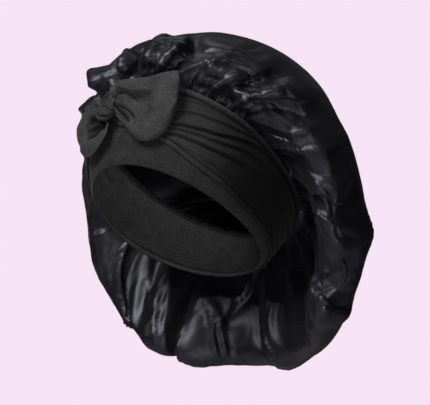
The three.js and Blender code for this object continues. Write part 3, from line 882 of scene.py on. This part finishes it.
def tie(sign, seed):
    """Clock by height on the band; steps at the pleats, a rolled rear hem, a stitched lower hem."""
    away = np.linspace(TIE[0]["away"], TIE[-1]["away"], TIE_GRID[0])[:, None]
    v = np.linspace(0, 1, TIE_GRID[1])[None, :]
    low = follow(TIE, "low", away, "away", None)
    high = follow(TIE, "high", away, "away", None)
    height = low + (high - low) * v
    rise = np.zeros(height.shape)
    # Painted shade: the tie is darker than the bow, and darker still toward the ear, where it turns from
    # the light.
    painted_shading = 0.7 - 0.58 * ease((away - 48) / 38) + rise
    for pleat in PLEATS:
        spots = [{"x": x, "y": pleat[f"at{x}"]} for x in (10, 30, 60, 90, 130)]
        line = follow(spots, "y", away, "x", None) + 0.8 * ripple(away / 12, 0 * away, seed)
        over = height - line
        fade = 1 - 0.6 * ease((away - 85) / 60)
        rise += pleat["tall"] * fade * ease((over + 0.4) / 0.9) * np.exp(-np.maximum(over, 0) / 5)
        rise -= 0.35 * pleat["tall"] * fade * ridge(over, -1.6, 1.6)
        # Painted shade in the crease under each pleat.
        painted_shading -= 0.15 * pleat["tall"] * fade * ridge(over, -0.9, 1.1)
    roll = 3.4 * ridge(high - height, 3.0, 2.3) - 1.4 * ridge(high - height, 7.0, 1.0)
    hem = 1.2 * ridge(height - low, 1.9, 1.5) - 0.9 * ridge(height - low, 4.8, 0.8)
    inner = ease((high - height) / 6) * ease((height - low) / 6)
    slack = (0.5 * ripple(away / 16, height / 13, seed + 1) + 0.5) * inner
    out = JERSEY + 0.8 + TIE_CLOTH + rise * inner + roll + hem + 0.7 * slack
    # Painted shade beside the rolled cord and in the hem's groove; painted highlight on the cord and on
    # the hem's edge.
    painted_shading = np.clip(painted_shading, 0.12, 1) * (1 - 0.75 * ridge(high - height, 6.8, 1.2))
    painted_shading = painted_shading * (1 - 0.6 * ridge(height - low, 4.8, 0.9))
    painted_shading = painted_shading + 0.4 * ridge(high - height, 2.6, 2.0) + 0.15 * ridge(height - low, 1.6, 1.4)
    return on_head(sign * away, height, out)[::sign], painted_shading[::sign]


ties = []
for side, sign, seed in (("left", 1, 21), ("right", -1, 31)):
    grid, painted_shading = tie(sign, seed)
    strip = cloth(f"tie_strip_{side}", grid, TIE_CLOTH)
    dress(strip, painted_shading)
    ties.append(strip)

# %% [markdown]
# ## The knot
#
# One tie is wound over the other, so the knot is a lump crossed by slanting strands that dive
# in at both ends. It starts as a squashed ball laid out by two angles. Grooves between the
# strands are narrow valleys cut along slanting lines, with finer stretch wrinkles between.

# %% The knot
KNOT = {"clock": 3, "height": 41, "out": 14.2, "wide": 13.2, "tall": 12.4, "deep": 7.4}
STRANDS = 5  # strands that show across the knot
KNOT_GRID = (144, 96)  # points round the knot, and from end to end


def knot_grid():
    """A squashed ball cut by grooves, and its tone, painted shade in the grooves. One angle runs round,
    one end to end.
    """
    turn = np.linspace(0, 2 * np.pi, KNOT_GRID[0], endpoint=False)[:, None]
    polar = np.linspace(0.04, np.pi - 0.04, KNOT_GRID[1])[None, :]
    middle = on_head(KNOT["clock"], KNOT["height"], KNOT["out"])
    outward = on_head(KNOT["clock"], KNOT["height"], KNOT["out"] + 1) - middle
    upward = on_head(KNOT["clock"], KNOT["height"] + 1, KNOT["out"]) - middle
    outward, upward = outward / np.linalg.norm(outward), upward / np.linalg.norm(upward)
    upward = upward - outward * (upward @ outward)
    wide = np.cross(upward, outward)
    slant = turn + 0.55 * np.cos(polar) * 2.2
    beat = np.abs(np.sin(slant * STRANDS / 2 + 0.5 * ripple(polar * 3, np.cos(turn) * 2, 41)))
    fine = np.abs(np.sin(slant * 8 + 0.8 * ripple(polar * 4, np.sin(turn) * 3, 42)))
    swell = 1 - (0.32 * (1 - beat) ** 2 + 0.13 * (1 - fine) ** 2) * np.sin(polar)
    round_in = np.sin(polar) ** 0.8
    x = KNOT["wide"] * np.cos(polar) * np.ones_like(turn)
    y = KNOT["tall"] * round_in * np.cos(turn) * swell
    z = KNOT["deep"] * round_in * np.sin(turn) * swell
    grid = middle + x[..., None] * -wide + y[..., None] * upward + z[..., None] * outward
    return grid, 1 - (0.9 * (1 - beat) ** 2 + 0.8 * (1 - fine) ** 2)


knot_points, knot_tone = knot_grid()
knot = lump("bow_knot", knot_points)
# Painted shade: the knot is darker overall and darkest in the grooves between its strands.
dress(knot, np.append(0.3 + 0.6 * knot_tone, [0.3, 0.3]))  # the last two are the end points

# %% [markdown]
# ## The tails of the bow
#
# Past the knot each tie opens out like a leaf. The wearer's left one is broad and twisted once:
# its front layer rolls out of the knot and stands over a hollow. The other one is short and
# stays pleated like a fan. Each leaf is a table of cross rows, and then fold lines are laid on
# it with the same function as on the bag. A cloth simulation would let so small a bow fall open,
# so it is drawn as it was tied.

# %% The two tails
TAIL_LEFT = rows_of(
    "clock_a height_a clock_b height_b out",
    (10.4, 35, 9.8, 47, (12, 15, 16, 17, 16)), (14.5, 28, 6.2, 58, (13, 12, 18, 20, 19)),
    (20, 20, 11, 62, (13, 11, 17, 22, 21)), (25, 15, 18, 64, (13, 13, 16, 20, 21)),
    (30, 15.5, 25, 66, (13, 15, 17, 20, 22)), (36, 22, 33, 77, (13, 16, 18, 20, 22)),
    (40.5, 35, 38.4, 82, (14, 17, 19, 21, 22)), (42, 52, 40.6, 74, (17, 18, 19, 20, 21)),
)
TAIL_RIGHT = rows_of(
    "clock_a height_a clock_b height_b out",
    (4.5, 29, -4, 46, (11, 12, 13, 13, 12)), (3.5, 20, -12.9, 53, (12, 15, 15, 16, 14)),
    (-3, 12, -21, 51, (11, 15, 15, 17, 14)), (-12.5, 7.5, -28, 47, (11, 16, 13, 18, 15)),
    (-22, 11, -27.5, 33, (12, 15, 14, 16, 15)),
)
TAIL_CLOTH = 1.8
TAIL_GRID = (150, 120)  # points from the knot to the tip, and across


def leaf(table, rise):
    """Rows of the table joined smoothly lengthways, straight across, then lifted by rise(u, v)."""
    rows = [{"k": k, **{f"out{q}": o for q, o in enumerate(row["out"])}, **row}
            for k, row in enumerate(table)]
    u = np.linspace(0, len(table) - 1, TAIL_GRID[0])[:, None]
    v = np.linspace(0, 1, TAIL_GRID[1])[None, :]
    read = lambda name: follow(rows, name, u, "k", None)
    clock = read("clock_a") + (read("clock_b") - read("clock_a")) * v
    height = read("height_a") + (read("height_b") - read("height_a")) * v
    knots = np.concatenate([read(f"out{q}") for q in range(5)], 1)
    q = np.clip(4 * v[0], 0, 3.9999)
    i = q.astype(int)
    t = ease(q - i)
    out = knots[:, i] * (1 - t) + knots[:, i + 1] * t
    return on_head(clock, height, out + TAIL_CLOTH + rise(u / (len(table) - 1), v))


# Fold lines of each tail: a stop is the share of the way to the tip, and the share across
LEFT_SIZE, RIGHT_SIZE = (85, 58), (49, 55)  # length and width in millimetres
LEFT_FOLDS = [
    fold("pinched", -6, 2.2, (0.05, 0.56), (0.12, 0.62), (0.19, 0.64), (0.29, 0.71), (0.37, 0.71)),
    fold("pinched", 4, 3.2, (0.05, 0.68), (0.12, 0.71), (0.2, 0.73), (0.31, 0.79), (0.4, 0.8)),
    fold("step", 7, 11, (0.26, 0.77), (0.38, 0.76), (0.5, 0.76), (0.66, 0.73), high_side=-1),
    fold("soft", -6, 7, (0.38, 0.71), (0.52, 0.66), (0.64, 0.52)),
    fold("step", 5, 12, (0.16, 0.62), (0.35, 0.68), (0.48, 0.6), (0.6, 0.48), (0.68, 0.36)),
    fold("pinched", -8, 2.6, (0.02, 0.6), (0.1, 0.5), (0.18, 0.39), (0.26, 0.31), (0.32, 0.24)),
    fold("pinched", -4.5, 1.8, (0.16, 0.5), (0.27, 0.48), (0.36, 0.43), (0.46, 0.28)),
    fold("soft", 4, 4.5, (0.03, 0.14), (0.18, 0.09), (0.5, 0.1)),
    fold("soft", 2.5, 7, (0.1, 0.9), (0.4, 0.92), (0.75, 0.9)),
]
RIGHT_FOLDS = [
    fold("pinched", -6.5, 2.6, (0.02, 0.34), (0.26, 0.51), (0.42, 0.65)),
    fold("pinched", -6.5, 2.6, (0.02, 0.28), (0.12, 0.28), (0.31, 0.44), (0.5, 0.62)),
    fold("pinched", -6.0, 2.4, (0.02, 0.2), (0.13, 0.18), (0.38, 0.29), (0.62, 0.5)),
    fold("pinched", -4.5, 2.0, (0.05, 0.14), (0.4, 0.18), (0.66, 0.3)),
    fold("soft", 3.5, 6, (0.05, 0.8), (0.35, 0.86)),
    fold("soft", 3.0, 3.0, (0.2, 0.36), (0.55, 0.56)),
    fold("soft", 3.0, 3.0, (0.2, 0.24), (0.6, 0.4)),
    fold("soft", 2.0, 5, (0.2, 0.08), (0.8, 0.12)),
]


def painted_groove_shade(folds, size):
    """Painted shade of a tail: 1 on open cloth and darker in the pinched grooves."""
    u, v = np.linspace(0, 1, TAIL_GRID[0])[:, None], np.linspace(0, 1, TAIL_GRID[1])[None, :]
    grooves = [one for one in folds if one["kind"] == "pinched"]
    return 1.02 - 0.92 * ease(-fold_lift(u, v, grooves, size, None) / 5)


def left_folds(u, v):
    """A rolled front layer, a hollow beside it, creases from the knot, and edges that curl in."""
    curl = -4.5 * np.exp(-v / 0.035) - 2.0 * np.exp(-(1 - u) / 0.03) - 1.2 * np.exp(-(1 - v) / 0.03)
    return fold_lift(u, v, LEFT_FOLDS, LEFT_SIZE, None) + curl + 0.3 * ripple(u * 9, v * 7, 51)


def right_folds(u, v):
    """Fan pleats that meet at the knot, and a smooth lower leaf."""
    curl = -1.2 * np.exp(-v / 0.04) - 1.2 * np.exp(-(1 - u) / 0.04)
    return fold_lift(u, v, RIGHT_FOLDS, RIGHT_SIZE, None) + curl + 0.3 * ripple(u * 8, v * 9, 52)


tails = [cloth("bow_tail_left", leaf(TAIL_LEFT, left_folds), TAIL_CLOTH)]
tails.append(cloth("bow_tail_right", leaf(TAIL_RIGHT, right_folds)[::-1], TAIL_CLOTH))
# Painted shade in the grooves of both tails.
dress(tails[0], painted_groove_shade(LEFT_FOLDS, LEFT_SIZE))
dress(tails[1], painted_groove_shade(RIGHT_FOLDS, RIGHT_SIZE)[::-1])

# %% [markdown]
# ## Joining the pieces to the frame
#
# Nothing moves on its own here, so every piece rides on the one body and stands for its solid.
# Sheets of cloth also print their area, which says how large they were cut.


# %% Ride and replace
def sheet_area(piece):
    """Area of one face of a sheet, in square metres: half of what its closed mesh has."""
    return sum(face.area for face in piece.data.polygons) / 2


PIECES = [
    (bag, "crown_bag", "satin"), (band, "headband", "jersey"), (seam, "gather_elastic", "jersey"),
    (ties[0], "tie_left", "jersey"), (ties[1], "tie_right", "jersey"), (knot, "knot", "jersey"),
    (tails[0], "tail_left", "jersey"), (tails[1], "tail_right", "jersey"),
]
for piece, node_name, slot_name in PIECES:
    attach(piece, "root")
    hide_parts(node_name)
    print(piece.name, "one face, square metres:", round(sheet_area(piece), 4))

# %% [markdown]
# ## Floor and backdrop
#
# Glossy cloth mirrors whatever is round it, so the surroundings are part of its look. The pale
# pink backdrop is seen by the camera only. What lights the cloth from all round is far dimmer,
# or the black would turn grey. The floor lies well below and out of the picture, because in use
# the bonnet is held up by a head.

# %% Floor and world
AZIMUTH, LIFT = np.radians(48.0), np.radians(-13.0)
RIGHT = np.array([np.cos(AZIMUTH), np.sin(AZIMUTH), 0.0])
BACK = np.array([np.sin(AZIMUTH) * np.cos(LIFT), -np.cos(AZIMUTH) * np.cos(LIFT), np.sin(LIFT)])
UP = np.cross(BACK, RIGHT)

FLOOR = -0.62  # height of the floor, in metres

floor_mesh = bpy.data.meshes.new("floor")
corners = [(x, y, FLOOR) for x, y in ((-1.5, -1.5), (1.5, -1.5), (1.5, 1.5), (-1.5, 1.5))]
floor_mesh.from_pydata(corners, [], [(0, 1, 2, 3)])
floor = bpy.data.objects.new("floor", floor_mesh)
bpy.context.scene.collection.objects.link(floor)
pale, pale_shader, *_ = new_material("pale_floor")
pale_shader.inputs["Base Color"].default_value = (0.8, 0.74, 0.79, 1)
pale_shader.inputs["Roughness"].default_value = 0.9
floor_mesh.materials.append(pale)

world = bpy.data.worlds.new("studio")
bpy.context.scene.world = world
world.use_nodes = True
tree = world.node_tree
glow = tree.nodes["Background"]
glow.inputs["Color"].default_value = (0.9, 0.88, 0.92, 1)
glow.inputs["Strength"].default_value = 0.012
seen = tree.nodes.new("ShaderNodeBackground")
seen.inputs["Color"].default_value = (0.922, 0.775, 0.905, 1)
path = tree.nodes.new("ShaderNodeLightPath")
mix = tree.nodes.new("ShaderNodeMixShader")
tree.links.new(path.outputs["Is Camera Ray"], mix.inputs["Fac"])
tree.links.new(glow.outputs["Background"], mix.inputs[1])
tree.links.new(seen.outputs["Background"], mix.inputs[2])
tree.links.new(mix.outputs["Shader"], tree.nodes["World Output"].inputs["Surface"])
print("floor at", FLOOR, "m")

# %% [markdown]
# ## Lamps
#
# The light is that of a small studio. The key is a big soft lamp, high on the left and in front.
# Four weak ones help it: fill from the left and low from under the bag open the shadows, inner
# looks into the opening, and rim draws the top edge of the satin. The back lamp lights the bonnet
# from behind. Glossy black cloth shows the lamps more than its own colour, so their size
# and place shape the highlights.


# %% Lamps
def lamp(name, right, up, toward, size, power):
    """A soft square lamp placed as seen from the camera, in metres, and aimed at the bonnet."""
    light = bpy.data.lights.new(name, "AREA")
    light.shape, light.size, light.energy = "SQUARE", size, power
    made = bpy.data.objects.new(name, light)
    bpy.context.scene.collection.objects.link(made)
    aim = np.array([0.0, 0.05, 0.03])
    place = aim + RIGHT * right + UP * up + BACK * toward
    turn = Vector(place - aim).to_track_quat("Z", "Y")
    made.matrix_world = Matrix.Translation(Vector(place)) @ turn.to_matrix().to_4x4()


lamp("key", -0.85, 1.25, 0.95, 0.7, 28)
lamp("fill", -0.8, -0.3, 1.5, 0.6, 0.8)
lamp("low", -0.35, -1.3, 0.8, 0.8, 1.5)
lamp("inner", 0.2, 0.0, 1.75, 0.3, 4.6)
lamp("rim", -0.2, 1.3, -0.6, 0.5, 1.2)
lamp("back", -0.7, -0.1, -1.5, 0.8, 2.0)

# %% [markdown]
# ## The camera
#
# The bonnet is seen from the wearer's left front and a little from below, which shows both the
# opening and the bow. A long lens from well over a metre away keeps its shape true, where a
# short one close by would make the near side swell.

# %% Camera
CAMERA_AWAY = 1.612  # metres from the point it looks at
camera = bpy.data.objects.new("camera", bpy.data.cameras.new("camera"))
camera.data.lens, camera.data.sensor_width = 135, 36
bpy.context.scene.collection.objects.link(camera)
aim = (RIGHT * 37 + UP * 19.5) * 0.001
eye = Vector(aim + BACK * CAMERA_AWAY)
axes = Matrix([list(RIGHT), list(UP), list(BACK)]).transposed()
camera.matrix_world = Matrix.Translation(eye) @ axes.to_4x4()
bpy.context.scene.camera = camera
bpy.context.scene.view_settings.view_transform = "Standard"
print("camera at", [round(x, 2) for x in eye])
